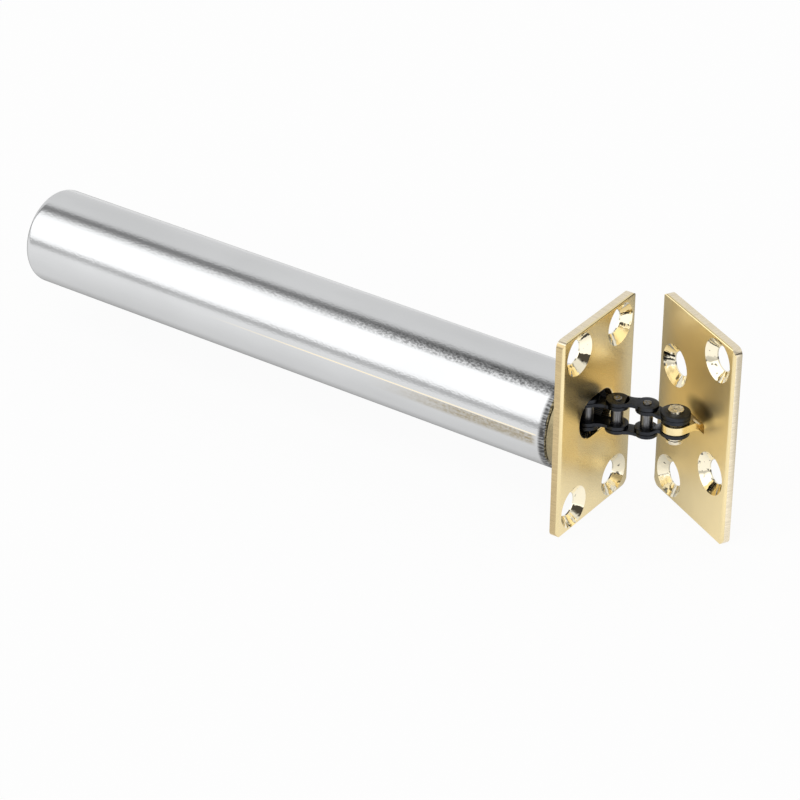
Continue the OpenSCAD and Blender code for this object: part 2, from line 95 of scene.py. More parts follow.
ANCHOR_TURN = math.atan2(ANCHOR_NORMAL.y, ANCHOR_NORMAL.x)
TONGUE_REACH = (PINS[3] - ANCHOR_CENTRE).dot(ANCHOR_NORMAL)
TONGUE_SIDE = (PINS[3] - ANCHOR_CENTRE).dot(ANCHOR_ASIDE)
SCREW_R = MOUNTS["face_screws"]["dims"]["hole_r_mm"] * MM
SCREW_Y = MOUNTS["face_screws"]["dims"]["spacing_x_mm"] * MM / 2
SCREW_Z = MOUNTS["face_screws"]["dims"]["spacing_y_mm"] * MM / 2
LOBE_R = size_of("chain_yoke").y / 2
LINK_T = size_of("link_b_upper_plate").z
END_R = size_of("end_washer").x / 2
# Painted dark reflection of the chain on the anchor plate: its middle, and its reach out of, along and up the
# plate
PAINTED_CHAIN_REFLECTION = ANCHOR_CENTRE + 3.8 * MM * ANCHOR_ASIDE + Vector((0, 0, 4.6 * MM))
PAINTED_CHAIN_REFLECTION_SIZE = (0.8 * PLATE_T, 8.5 * MM, 4.6 * MM)
# Places no further apart than this count as one
NEAR = 0.01 * MM
DEGREE = math.radians(1)
# How much of a normal lies along an axis when a face looks along it, or stands across it
ALONG, ACROSS = 0.98, 0.1


def screw_height(mount):
    """Height of a pair of the anchor plate's screws from its centre."""
    half = MOUNTS[mount]["dims"]["pcd_mm"] * MM / 2
    return math.sqrt(half**2 - SCREW_Y**2)


def length(name, description, mm):
    """A length property with its default in millimetres."""
    return bpy.props.FloatProperty(name=name, description=description, default=mm * MM, unit="LENGTH")


def colour(name, description, hex_colour):
    """A colour property with its default as an sRGB hex value."""
    return bpy.props.FloatVectorProperty(
        name=name, description=description, subtype="COLOR", size=4, default=linear(hex_colour)
    )


class CloserSizes(bpy.types.PropertyGroup):
    """Sizes that the frame doesn't give."""

    plate_corner: length("Plate corner", "Radius of the plates' tighter corners", 2)
    plate_round: length("Rounder corner", "Radius of the plates' rounder corners", 4)
    plate_edge: length("Plate edge", "Rounding along the plates' long front edges", 0.85)
    plate_end: length("Plate end", "Rounding along the plates' short front edges", 0.6)
    plate_back: length("Plate back", "Rounding of the plates' back edges", 0.3)
    sink_radius: length("Countersink", "Radius of a countersink at the front", 6)
    sink_land: length("Land", "Straight hole left under a countersink", 0.4)
    slot_width: length("Slot width", "Width of the chain's slot", 16.7)
    slot_height: length("Slot height", "Height of the chain's slot", 11.6)
    slot_rim: length("Slot rim", "Rounding of the chain slot's rim", 0.5)
    tube_rear: length("Tube rear", "Radius of the tube's rear corner", 2.5)
    tube_front: length("Tube front", "Radius of the tube's front corner", 1.4)
    tube_wall: length("Tube wall", "Thickness of the tube's wall", 1.5)
    waist_radius: length("Waist", "Radius of a link plate's waist", 4.4)
    link_edge: length("Link edge", "Rounding of the link plates' edges", 0.2)
    bush_radius: length("Bush", "Outer radius of a bush", 1.7)
    pin_radius: length("Pin", "Radius of a chain pin", 1.15)
    pin_run: length("Running room", "Room round a pin in its bush", 0.05)
    end_pin_radius: length("End pin", "Radius of the end pin's shank", 1.6)
    head_radius: length("Head", "Radius of the end pin's head", 2.1)
    foot_radius: length("Foot", "Radius of the end pin's foot", 2.35)
    foot_height: length("Foot height", "Height of the end pin's foot", 1)
    foot_collar: length("Foot collar", "Radius of the collar above the end pin's foot", 2.05)
    eye_radius: length("Eye", "Radius of the tongue's eye", 3.8)
    tongue_thick: length("Tongue", "Thickness of the tongue", 2.2)
    tongue_root: length("Tongue root", "Width of the tongue where it enters the plate", 5.6)
    tongue_fall: length("Tongue fall", "Height that the tongue falls to the plate", 1)
    tongue_edge: length("Tongue edge", "Rounding of the tongue's edges", 0.45)
    tongue_room: length("Tongue room", "Room beside the tongue in the anchor plate's slot", 1.6)
    tongue_head: length("Tongue headroom", "Room above the tongue in that slot", 0.7)
    slot_corner: length("Slot corner", "Radius of that slot's open corner", 0.8)
    bar_width: length("Bar", "Width of the tongue's cross bar", 13)
    bar_depth: length("Bar depth", "Depth of the cross bar and of its pocket", 0.89)


class CloserColours(bpy.types.PropertyGroup):
    """Colours of the finishes."""

    zinc: colour("Zinc", "Zinc plate of the tube", "#dedfe0")
    tint: colour("Seam tint", "Heat tint under the tube's seam", "#a39679")
    # The seam's bright edge is a painted highlight.
    seam: colour("Seam", "Bright edge of the tube's seam", "#fff4dc")
    brass: colour("Brass", "Brass plate", "#f9e6b4")
    # A darker copy of the brass: painted shade on the face plate's long sides.
    shaded_side_brass: colour("Dull brass", "Brass plate on the face plate's long sides", "#d9c294")
    # A paler, lighter copy of the brass: painted light on the plates' sheared edges.
    lit_edge_brass: colour("Pale brass", "Brass plate on the sheared edges", "#fbeed2")
    # A lighter copy of the brass: painted highlight in the countersinks.
    lit_sink_brass: colour("Bright brass", "Brass plate in the turned countersinks", "#fff6dc")
    black: colour("Black oxide", "Blackened chain steel", "#3a3c41")
    burnished: colour("Burnished steel", "Steel of the bushes, rubbed bright", "#8c8c8e")
    steel: colour("Steel", "Machined steel", "#b9b6b2")
    peened: colour("Peened steel", "Hammered head of the end pin", "#e9dfc8")
    nylon: colour("Nylon", "Dark grey nylon", "#47494d")


def sizes():
    """The sizes in use."""
    return bpy.context.scene.closer_sizes


def colours():
    """The colours in use."""
    return bpy.context.scene.closer_colours


# Modelling helpers


def only(piece):
    """Selects one piece and makes it active, in object mode."""
    if bpy.context.object and bpy.context.object.mode != "OBJECT":
        bpy.ops.object.mode_set(mode="OBJECT")
    bpy.ops.object.select_all(action="DESELECT")
    if piece:
        piece.select_set(True)
        bpy.context.view_layer.objects.active = piece


def settle(piece, name):
    """Names a new piece and applies its place, so that its object sits at the origin."""
    only(piece)
    piece.name = piece.data.name = name
    bpy.ops.object.transform_apply(location=True, rotation=True, scale=True)
    return piece


def rod(name, radius, depth, centre, axis="Z", sides=ROUND, tip=None):
    """A closed round bar, or a cone if the tip has another radius."""
    only(None)
    turn = {"Z": (0, 0, 0), "X": (0, math.pi / 2, 0)}[axis]
    bpy.ops.mesh.primitive_cone_add(
        vertices=sides, radius1=radius, radius2=radius if tip is None else tip, depth=depth,
        location=centre, rotation=turn,
    )
    return settle(bpy.context.object, name)


def block(name, centre, size):
    """A block of a size about its centre."""
    only(None)
    bpy.ops.mesh.primitive_cube_add(size=1, location=centre, scale=size)
    return settle(bpy.context.object, name)


def modify(piece, kind, **settings):
    """Adds a modifier to a piece and applies it."""
    only(piece)
    step = piece.modifiers.new(kind.title(), kind)
    for key, value in settings.items():
        setattr(step, key, value)
    bpy.ops.object.modifier_apply(modifier=step.name)
    return piece


def carve(piece, tool, operation="DIFFERENCE"):
    """Cuts a piece with a tool, or joins the two solids, and removes the tool."""
    modify(piece, "BOOLEAN", object=tool, operation=operation, solver="EXACT")
    bpy.data.objects.remove(tool)
    return piece


def pick(piece, kind, test):
    """Goes to edit mode with only the vertices, edges or polygons selected that pass a test."""
    only(piece)
    bpy.ops.object.mode_set(mode="EDIT")
    bpy.ops.mesh.select_mode(type={"vertices": "VERT", "edges": "EDGE", "polygons": "FACE"}[kind])
    bpy.ops.mesh.select_all(action="DESELECT")
    bpy.ops.object.mode_set(mode="OBJECT")
    for element in getattr(piece.data, kind):
        element.select = test(element)
    bpy.ops.object.mode_set(mode="EDIT")


def edge_ends(piece, edge):
    """The two ends of an edge."""
    return [piece.data.vertices[i].co for i in edge.vertices]


def round_edges(piece, test, radius, segments):
    """Rounds the edges whose ends pass a test."""
    pick(piece, "edges", lambda edge: test(*edge_ends(piece, edge)))
    bpy.ops.mesh.bevel(offset=radius, segments=segments, affect="EDGES", clamp_overlap=True)
    bpy.ops.object.mode_set(mode="OBJECT")


def smooth(piece, angle=30):
    """Shades a piece smooth, apart from its sharp edges."""
    only(piece)
    bpy.ops.object.shade_smooth_by_angle(angle=math.radians(angle))
    return piece


def soften(piece, radius, segments=2, angle=35):
    """Rounds every sharp edge of a piece a little and shades it smooth."""
    modify(
        piece, "BEVEL", width=radius, segments=segments, limit_method="ANGLE",
        angle_limit=math.radians(angle), harden_normals=False, use_clamp_overlap=True,
    )
    return smooth(piece, angle)


def put(piece, matrix):
    """Moves a piece's mesh into the row frame."""
    only(piece)
    piece.matrix_world = matrix
    bpy.ops.object.transform_apply(location=True, rotation=True, scale=True)
    return piece


def dress(piece, body, slot, nodes, *finishes):
    """Gives a piece its finishes and its body, and hides the CAD nodes that it stands for."""
    for name in finishes:
        piece.data.materials.append(finish(name))
    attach(piece, body)
    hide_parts(*nodes)
    return piece


def at_pin(index, towards=None):
    """Frame of a chain pin, with local X towards the next one."""
    along = (PINS[index + 1] - PINS[index]) if towards is None else towards
    return Matrix.Translation(PINS[index]) @ Matrix.Rotation(math.atan2(along.y, along.x), 4, "Z")


def anchor_frame():
    """Frame of the anchor plate's front face, with local X out of it."""
    return Matrix.Translation(ANCHOR_CENTRE) @ Matrix.Rotation(ANCHOR_TURN, 4, "Z")


# Material helpers

SOFT = {"interpolation_type": "SMOOTHSTEP"}
# Values between which most of a noise lies
NOISE_LOW, NOISE_HIGH = 0.3, 0.7


def add_node(tree, kind, settings=None, links=None, output=0):
    """Adds a node, sets its properties and inputs by name or number, links its inputs, and gives
    one of its outputs."""
    node = tree.nodes.new(kind)
    for key, value in (settings or {}).items():
        if isinstance(key, int) or key not in node.bl_rna.properties:
            node.inputs[key].default_value = value
        else:
            setattr(node, key, value)
    for key, socket in (links or {}).items():
        tree.links.new(socket, node.inputs[key])
    return node.outputs[output] if node.outputs else None


def new_material(name, metallic=1.0):
    """A material with its tree, its shader and Object coordinates."""
    material = bpy.data.materials.new(name)
    material.use_nodes = True
    tree = material.node_tree
    shader = tree.nodes["Principled BSDF"]
    shader.inputs["Metallic"].default_value = metallic
    return material, tree, shader, add_node(tree, "ShaderNodeTexCoord", output="Object")


def darker(shade, factor):
    """A colour with its brightness scaled."""
    return [c * factor for c in shade[:3]] + [1.0]


def grain(tree, place, size_mm, stretch=(1, 1, 1), detail=3.0, turn=0.0):
    """Noise whose grain has a real size, drawn out along the axes by stretch."""
    scale = [1 / (size_mm * MM * s) for s in stretch]
    turned = add_node(tree, "ShaderNodeMapping", {"Rotation": (0, 0, -turn)}, {"Vector": place})
    drawn = add_node(tree, "ShaderNodeVectorMath", {"operation": "MULTIPLY", 1: scale}, {0: turned})
    return add_node(
        tree, "ShaderNodeTexNoise", {"Scale": 1.0, "Detail": detail}, {"Vector": drawn}, "Fac"
    )


def mottle(tree, pattern, shade, dark, low=0.35, high=0.65):
    """A colour that is darker by a factor where a pattern is low."""
    share = add_node(tree, "ShaderNodeMapRange", {1: low, 2: high}, {0: pattern})
    settings = {"data_type": "RGBA", 6: darker(shade, dark), 7: shade[:]}
    return add_node(tree, "ShaderNodeMix", settings, {0: share}, 2)


def coat(tree, shader, shade, pattern, rough_low, rough_high, depth_mm):
    """Gives a surface its colour, and lets a pattern set its roughness and a relief of real depth."""
    limits = {1: NOISE_LOW, 2: NOISE_HIGH, 3: rough_low, 4: rough_high}
    roughness = add_node(tree, "ShaderNodeMapRange", limits, {0: pattern})
    relief = add_node(
        tree, "ShaderNodeBump", {"Strength": 1.0, "Distance": depth_mm * MM}, {"Height": pattern}
    )
    tree.links.new(shade, shader.inputs["Base Color"])
    tree.links.new(roughness, shader.inputs["Roughness"])
    tree.links.new(relief, shader.inputs["Normal"])


def all_of(tree, *masks):
    """The product of some masks."""
    result = masks[0]
    for mask in masks[1:]:
        result = add_node(tree, "ShaderNodeMath", {"operation": "MULTIPLY"}, {0: result, 1: mask})
    return result


def band(tree, value, low, high, soft_low, soft_high, unit=1.0):
    """A mask that is 1 between two limits, with a soft edge outside each."""
    edges = []
    for start, end, at_start in ((low - soft_low, low, 0), (high, high + soft_high, 1)):
        limits = {1: start * unit, 2: end * unit, 3: at_start, 4: 1 - at_start}
        edges.append(add_node(tree, "ShaderNodeMapRange", {**SOFT, **limits}, {0: value}))
    return all_of(tree, *edges)


def broken_up(tree, mask, pattern, least, most, low=0.35, high=0.65):
    """A mask with its strength varied by a pattern."""
    share = add_node(tree, "ShaderNodeMapRange", {1: low, 2: high, 3: least, 4: most}, {0: pattern})
    return all_of(tree, mask, share)


def angle_round_x(tree, y, z):
    """Angle round the X axis, from level at the front up and over to the back."""
    front = add_node(tree, "ShaderNodeMath", {"operation": "MULTIPLY", 1: -1.0}, {0: y})
    return add_node(tree, "ShaderNodeMath", {"operation": "ARCTAN2"}, {0: z, 1: front})


# Marks on the tube, each from where to where and how softly, in degrees round it from level at
# the front and in mm along it from the face plate's front
TINT_ROUND, TINT_ALONG = (-5, 3.2, 7, 0.8), (-28, -12, 40, 2.5)
# The seam band is a painted highlight along the seam's edge.
SEAM_HIGHLIGHT_ROUND, SEAM_HIGHLIGHT_ALONG = (4.3, 5.3, 0.6, 0.6), (-75, -11, 50, 1.5)
# The next band is a painted dark reflection along the tube's top, fading in towards the front.
DARK_REFLECTION_ROUND, DARK_REFLECTION_FADES_IN = (54, 61, 5, 6), (-120, -20)
# Where the painted shade on the front edge starts and is at its darkest, in mm behind the tube's end
FRONT_EDGE_SHADE = (2.8, 1.6)


def zinc_plate():
    """Bright zinc plate on drawn steel tube: fine lengthwise drawing lines and a crystalline grain, a welded seam
    with a painted highlight along its edge and a straw heat tint, a painted dark reflection along the top, and
    painted shade on the front edge, broken up by ticks."""
    material, tree, shader, place = new_material("zinc_plate")
    drawing = grain(tree, place, 0.35, (70, 1, 1), detail=2.0)
    crystals = grain(tree, place, 0.55, (1.5, 1, 1), detail=2.0)
    bloom = grain(tree, place, 14, (2.5, 1, 1))
    ticks = grain(tree, place, 0.4, (12, 1, 1), detail=1.0)
    x, y, z = add_node(tree, "ShaderNodeSeparateXYZ", {}, {0: place}).node.outputs
    height = add_node(tree, "ShaderNodeMath", {"operation": "SUBTRACT", 1: TUBE_Z}, {0: z})
    angle = angle_round_x(tree, y, height)

    tinted = all_of(tree, band(tree, angle, *TINT_ROUND, DEGREE), band(tree, x, *TINT_ALONG, MM))
    tinted = broken_up(tree, tinted, drawing, 0.65, 1.0, NOISE_LOW, NOISE_HIGH)
    tinted = broken_up(tree, tinted, crystals, 0.6, 1.0)
    # This mask paints a highlight along the seam's edge.
    seam = all_of(tree, band(tree, angle, *SEAM_HIGHLIGHT_ROUND, DEGREE), band(tree, x, *SEAM_HIGHLIGHT_ALONG, MM))
    start, end = (place_mm * MM for place_mm in DARK_REFLECTION_FADES_IN)
    forward = add_node(tree, "ShaderNodeMapRange", {**SOFT, 1: start, 2: end, 3: 0.15, 4: 0.75}, {0: x})
    # This mask paints a dark reflection along the tube's top, broken up by the crystals.
    rubbed = all_of(tree, band(tree, angle, *DARK_REFLECTION_ROUND, DEGREE), forward)
    rubbed = broken_up(tree, rubbed, crystals, 0.3, 1.3)
    start, end = (TUBE_HIGH.x - behind * MM for behind in FRONT_EDGE_SHADE)
    # This mask paints shade on the tube's front edge, broken up by ticks.
    turned = add_node(tree, "ShaderNodeMapRange", {**SOFT, 1: start, 2: end}, {0: x})
    turned = broken_up(tree, turned, ticks, 0.6, 1.0, 0.35, 0.6)

    zinc = colours().zinc
    shade = mottle(tree, bloom, zinc, 0.94)
    # Layers over the zinc: a painted dark reflection, painted shade on the front edge, the heat tint and a painted
    # highlight on the seam.
    for mask, over in (
        (rubbed, darker(zinc, 0.25)), (turned, darker(zinc, 0.1)),
        (tinted, colours().tint[:]), (seam, colours().seam[:]),
    ):
        settings = {"data_type": "RGBA", 7: over}
        shade = add_node(tree, "ShaderNodeMix", settings, {0: mask, 6: shade}, 2)
    limits = {1: NOISE_LOW, 2: NOISE_HIGH, 3: 0.1, 4: 0.15}
    roughness = add_node(tree, "ShaderNodeMapRange", limits, {0: bloom})
    lines = add_node(
        tree, "ShaderNodeBump", {"Strength": 1.0, "Distance": 0.004 * MM}, {"Height": drawing}
    )
    relief = add_node(
        tree, "ShaderNodeBump", {"Strength": 1.0, "Distance": 0.03 * MM},
        {"Height": crystals, "Normal": lines},
    )
    tree.links.new(shade, shader.inputs["Base Color"])
    tree.links.new(roughness, shader.inputs["Roughness"])
    tree.links.new(relief, shader.inputs["Normal"])
    return material


def brass_satin(name, turn=0.0, painted_chain_reflection=None, rough=0.25):
    """Satin brass plate on pressed steel: an even fine grain with a soft gloss. A painted chain reflection is a
    place where a dark reflection of the chain is painted on the plate."""
    material, tree, shader, place = new_material(name)
    fine = grain(tree, place, 0.28, detail=2.0, turn=turn)
    cloud = grain(tree, place, 9, detail=2.0, turn=turn)
    brass = colours().brass
    shade = mottle(tree, cloud, brass, 0.95, NOISE_LOW, NOISE_HIGH)
    if painted_chain_reflection is not None:
        offset = add_node(tree, "ShaderNodeVectorMath", {"operation": "SUBTRACT", 1: painted_chain_reflection}, {0: place})
        turned = add_node(tree, "ShaderNodeMapping", {"Rotation": (0, 0, -turn)}, {"Vector": offset})
        share = add_node(
            tree, "ShaderNodeVectorMath", {"operation": "DIVIDE", 1: PAINTED_CHAIN_REFLECTION_SIZE}, {0: turned}
        )
        away = add_node(tree, "ShaderNodeVectorMath", {"operation": "LENGTH"}, {0: share}, "Value")
        # This share paints the chain's dark reflection on the plate.
        oiled = add_node(tree, "ShaderNodeMapRange", {**SOFT, 1: 0.35, 2: 1, 3: 0.85, 4: 0}, {0: away})
        settings = {"data_type": "RGBA", 7: darker(brass, 0.12)}
        shade = add_node(tree, "ShaderNodeMix", settings, {0: oiled, 6: shade}, 2)
    coat(tree, shader, shade, fine, rough, 1.3 * rough, 0.004)
    return material


def brass_polished():
    """Bright brass plate in the turned countersinks: nearly a mirror, with turning chatter in its relief. Its
    colour is a lighter copy of the brass, a painted highlight, and its dark spots are painted reflections.
    """
    material, tree, shader, place = new_material("brass_polished")
    chatter = grain(tree, place, 1.5, detail=1.0)
    # The noise paints dark spots as reflections in the cones, over a lighter copy of the brass.
    shade = mottle(tree, chatter, colours().lit_sink_brass, 0.2, 0.27, 0.34)
    coat(tree, shader, shade, chatter, 0.04, 0.08, 0.06)
    return material


def brass_sheared(name, brass, turn=0.0):
    """Brass plate over the plates' sheared sides: fine score lines straight through the thickness."""
    material, tree, shader, place = new_material(name)
    scores = grain(tree, place, 0.4, (12, 1, 1), detail=2.0, turn=turn)
    coat(tree, shader, mottle(tree, scores, brass, 0.86), scores, 0.3, 0.2, 0.02)
    return material


def black_oxide():
    """Black oxide on stamped chain steel, oiled: nearly black, with a soft grey sheen on its edges."""
    material, tree, shader, place = new_material("black_oxide")
    stamped = grain(tree, place, 0.5)
    cloud = grain(tree, place, 3, detail=2.0)
    coat(tree, shader, mottle(tree, cloud, colours().black, 0.7), stamped, 0.28, 0.42, 0.006)
    return material


def burnished_steel():
    """Bush steel rolled from strip and rubbed by the pins: dark grey with upright burnished streaks."""
    material, tree, shader, place = new_material("burnished_steel")
    streaks = grain(tree, place, 0.22, (1, 1, 14), detail=2.0)
    coat(tree, shader, mottle(tree, streaks, colours().burnished, 0.6), streaks, 0.45, 0.34, 0.01)
    return material


def machined_steel(name, steel, rough_low, rough_high, depth_mm, size_mm=0.4):
    """Plain, plated or hammered steel: fine tool marks and a soft gloss."""
    material, tree, shader, place = new_material(name)
    marks = grain(tree, place, size_mm)
    coat(tree, shader, mottle(tree, marks, steel, 0.75), marks, rough_low, rough_high, depth_mm)
    return material


def grey_nylon():
    """Moulded dark grey nylon, satin and slightly speckled."""
    material, tree, shader, place = new_material("grey_nylon", metallic=0.0)
    speckle = grain(tree, place, 0.3, detail=2.0)
    coat(tree, shader, mottle(tree, speckle, colours().nylon, 0.8, 0.4, 0.6), speckle, 0.38, 0.5, 0.01)
    return material


FINISHES = {}


def make_finishes():
    """Makes each finish once."""
    brass, pale, dull = colours().brass, colours().lit_edge_brass, colours().shaded_side_brass
    steel, peened = colours().steel, colours().peened
    FINISHES.update(
        zinc=zinc_plate(),
        satin=brass_satin("brass_satin"),
        satin_anchor=brass_satin("brass_satin_anchor", ANCHOR_TURN),
        # The anchor plate's front has the chain's dark reflection painted on it.
        satin_smeared=brass_satin("brass_satin_smeared", ANCHOR_TURN, PAINTED_CHAIN_REFLECTION, rough=0.34),
        rounded=brass_satin("brass_rounded", rough=0.06),
        # A darker copy of the brass: painted shade on the collar in the gap between the tube and the face plate.
        brazed=machined_steel("brazed_brass", darker(brass, 0.45), 0.3, 0.42, 0.02),
        polished=brass_polished(),
        # Sheared sides: the paler copy of the brass is painted light, and the face plate's long sides take the
        # darker copy as painted shade.
        sheared=brass_sheared("brass_sheared", pale),
        sheared_side=brass_sheared("brass_sheared_side", dull),
        sheared_anchor=brass_sheared("brass_sheared_anchor", pale, ANCHOR_TURN),
        black=black_oxide(),
        burnished=burnished_steel(),
        steel=machined_steel("machined_steel", steel, 0.25, 0.38, 0.006),
        riveted=machined_steel("riveted_steel", darker(steel, 0.42), 0.16, 0.3, 0.05, 0.5),
        peened=machined_steel("peened_steel", peened, 0.14, 0.26, 0.1, 0.7),
        spring=machined_steel("spring_steel", darker(steel, 0.6), 0.3, 0.45, 0.01),
        nylon=grey_nylon(),
    )


def finish(name):
    """One of the finishes, which are all made when the first is needed."""
    if not FINISHES:
        make_finishes()
    return FINISHES[name]


class CLOSER_OT_tube(bpy.types.Operator):
    """Models the drawn tube and the collar between it and the face plate"""

    bl_idname = "closer.tube"
    bl_label = "Tube and collar"

    def execute(self, context):
        rear, front = TUBE_LOW.x, TUBE_HIGH.x
        centre = ((rear + front) / 2, 0, TUBE_Z)
        tube = rod("tube_shell", TUBE_R, front - rear, centre, "X", FINE_ROUND)
        round_edges(tube, lambda a, b: max(a.x, b.x) < rear + NEAR, sizes().tube_rear, 10)
        round_edges(tube, lambda a, b: min(a.x, b.x) > front - NEAR, sizes().tube_front, 6)
        pick(tube, "polygons", lambda face: face.center.x > front - NEAR and face.normal.x > ALONG)
        bpy.ops.mesh.delete(type="FACE")
        bpy.ops.object.mode_set(mode="OBJECT")
        modify(tube, "SOLIDIFY", thickness=sizes().tube_wall, offset=-1)
        smooth(tube, 40)
        dress(tube, "housing", "zinc_steel", ["tube"], "zinc")

        collar_r = size_of("front_collar").y / 2
        flange = abs(front - FACE_LOW.x)
        middle_x = FACE_LOW.x - flange / 2
        ring = rod("collar_flange", collar_r, flange, (middle_x, 0, TUBE_Z), "X", FINE_ROUND)
        carve(ring, oblong("tool", (middle_x, 0, CHAIN_Z), 3 * flange))
        soften(ring, 0.15 * MM)
        # The collar takes the darker copy of the brass as painted shade.
        dress(ring, "housing", "brass_plate", ["front_collar"], "brazed")
        return {"FINISHED"}


def oblong(name, centre, depth):
    """A bar along X with the section of the chain's slot."""
    width, height = sizes().slot_width, sizes().slot_height
    bar = rod(name, height / 2, depth, centre, "X")
    for side in (-1, 1):
        pick(bar, "vertices", lambda v: side * v.co.y > 1e-7)
        bpy.ops.transform.translate(value=(0, side * (width - height) / 2, 0))
    bpy.ops.object.mode_set(mode="OBJECT")
    return bar


def plate_blank(name, rounder):
    """A plate with its front at local X = 0 and its front edges rounded. The corners named in
    rounder, as signs of Y and Z, have the larger radius."""
    size = FACE_HIGH - FACE_LOW
    centre, wide = (-PLATE_T / 2, 0, 0), (PLATE_T, size.y, size.z)
    plate, cross = block(name, centre, wide), block("cross", centre, wide)

    def is_front(a, b):
        return min(a.x, b.x) > -NEAR

    round_edges(
        plate, lambda a, b: is_front(a, b) and abs(a.z - b.z) > PLATE_T, sizes().plate_edge, 8
    )
    round_edges(
        cross, lambda a, b: is_front(a, b) and abs(a.y - b.y) > PLATE_T, sizes().plate_end, 8
    )
    carve(plate, cross, "INTERSECT")
    outline = block("outline", centre, (3 * PLATE_T, size.y, size.z))
    for y in (-1, 1):
        for z in (-1, 1):

            def is_corner(a, b):
                across = abs(a.x - b.x) > PLATE_T
                return across and a.y * y > size.y / 2 - NEAR and a.z * z > size.z / 2 - NEAR

            radius = sizes().plate_round if (y, z) in rounder else sizes().plate_corner
            round_edges(outline, is_corner, radius, 12)
    carve(plate, outline, "INTERSECT")
    return soften(plate, sizes().plate_back, 3, 50)


def countersink(plate, y, z):
    """Cuts a countersunk screw hole."""
    carve(plate, rod("tool", SCREW_R, 3 * PLATE_T, (-PLATE_T / 2, y, z), "X"))
    sink = PLATE_T - sizes().sink_land
    over = 0.5 * MM
    wide = sizes().sink_radius + over * (sizes().sink_radius - SCREW_R) / sink
    carve(plate, rod("tool", SCREW_R, sink + over, ((over - sink) / 2, y, z), "X", tip=wide))


# Order of a plate's finishes. The rounding of its long edges has the front's
FRONT, SINK, SHORT_SIDE, LONG_SIDE, SHORT_ROUNDING = range(5)


def finish_plate(plate, holes):
    """Gives a plate's faces, countersinks, sides and short roundings their own finish."""
    reach = sizes().sink_radius + NEAR
    for face in plate.data.polygons:
        c = face.center
        in_hole = any(math.hypot(c.y - y, c.z - z) < reach for y, z in holes)
        outward = abs(face.normal.x)
        end = abs(face.normal.z) > abs(face.normal.y)
        if outward >= ALONG:
            face.material_index = FRONT
        elif in_hole:
            face.material_index = SINK
        elif outward < ACROSS:
            face.material_index = SHORT_SIDE if end else LONG_SIDE
        else:
            face.material_index = SHORT_ROUNDING if end else FRONT
    return smooth(plate, 32)


class CLOSER_OT_face_plate(bpy.types.Operator):
    """Models the face plate, with its countersinks and the chain's slot"""

    bl_idname = "closer.face_plate"
    bl_label = "Face plate"

    def execute(self, context):
        plate = plate_blank("face_plate_dressed", [(1, -1)])
        carve(plate, oblong("tool", (0, 0, CHAIN_Z), 3 * PLATE_T))
        half_w, half_h = sizes().slot_width / 2 + NEAR, sizes().slot_height / 2 + NEAR

        def on_rim(a, b):
            return all(
                v.x > -NEAR and abs(v.y) < half_w and abs(v.z - CHAIN_Z) < half_h for v in (a, b)
            )

        round_edges(plate, on_rim, sizes().slot_rim, 5)
        holes = [(SCREW_Y * i, SCREW_Z * j) for i in (-1, 1) for j in (-1, 1)]
        for hole in holes:
            countersink(plate, *hole)
        finish_plate(plate, holes)
        dress(
            plate, "housing", "brass_plate", ["face_plate"],
            "satin", "polished", "sheared", "sheared_side", "rounded",
        )
        return {"FINISHED"}


class CLOSER_OT_anchor_plate(bpy.types.Operator):
    """Models the anchor plate, with its staggered countersinks and the tongue's slot"""

    bl_idname = "closer.anchor_plate"
    bl_label = "Anchor plate"

    def execute(self, context):
        plate = plate_blank("anchor_plate_dressed", [(-1, -1)])
        gap = 0.02 * MM
        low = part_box("tongue")[0].z - gap
        left = TONGUE_SIDE - sizes().tongue_root / 2 - gap
        width = sizes().tongue_root + sizes().tongue_room + gap
        height = sizes().tongue_thick + sizes().tongue_head
        tool = block(
            "tool", (-PLATE_T / 2, left + width / 2, low + height / 2), (3 * PLATE_T, width, height)
        )
        round_edges(
            tool,
            lambda a, b: min(a.y, b.y) > left + width - NEAR and min(a.z, b.z) > low + height - NEAR,
            sizes().slot_corner, 6,
        )
        carve(plate, tool)
        depth = sizes().bar_depth + NEAR
        bar = (depth, sizes().bar_width + 2 * NEAR, sizes().tongue_thick + gap)
        place = (depth / 2 - PLATE_T, TONGUE_SIDE, low + bar[2] / 2)
        carve(plate, block("pocket", place, bar))
        outer, inner = screw_height("anchor_outer_screws"), screw_height("anchor_inner_screws")
        holes = [(SCREW_Y, outer), (-SCREW_Y, -outer), (-SCREW_Y, inner), (SCREW_Y, -inner)]
        for hole in holes:
            countersink(plate, *hole)
        finish_plate(plate, holes)
        put(plate, anchor_frame())
        dress(
            plate, "anchor", "brass_plate", ["anchor_plate"],
            "satin_smeared", "polished", "sheared_anchor", "sheared_anchor", "rounded",
        )
        return {"FINISHED"}


def crank(bar, start, end, drop, cuts):
    """Makes a flat bar along local X sink by a drop between two places."""

    def is_long(edge):
        a, b = edge_ends(bar, edge)
        return abs(a.x - b.x) > abs(end - start)

    pick(bar, "edges", is_long)
    bpy.ops.mesh.subdivide(number_cuts=cuts)
    bpy.ops.object.mode_set(mode="OBJECT")
    for x in sorted({round(v.co.x, 7) for v in bar.data.vertices}):
        share = min(max((x - start) / (end - start), 0), 1)
        if share > 0:
            pick(bar, "vertices", lambda v: abs(v.co.x - x) < 1e-6)
            bpy.ops.transform.translate(value=(0, 0, -drop * share * share * (3 - 2 * share)))
            bpy.ops.object.mode_set(mode="OBJECT")
    return bar


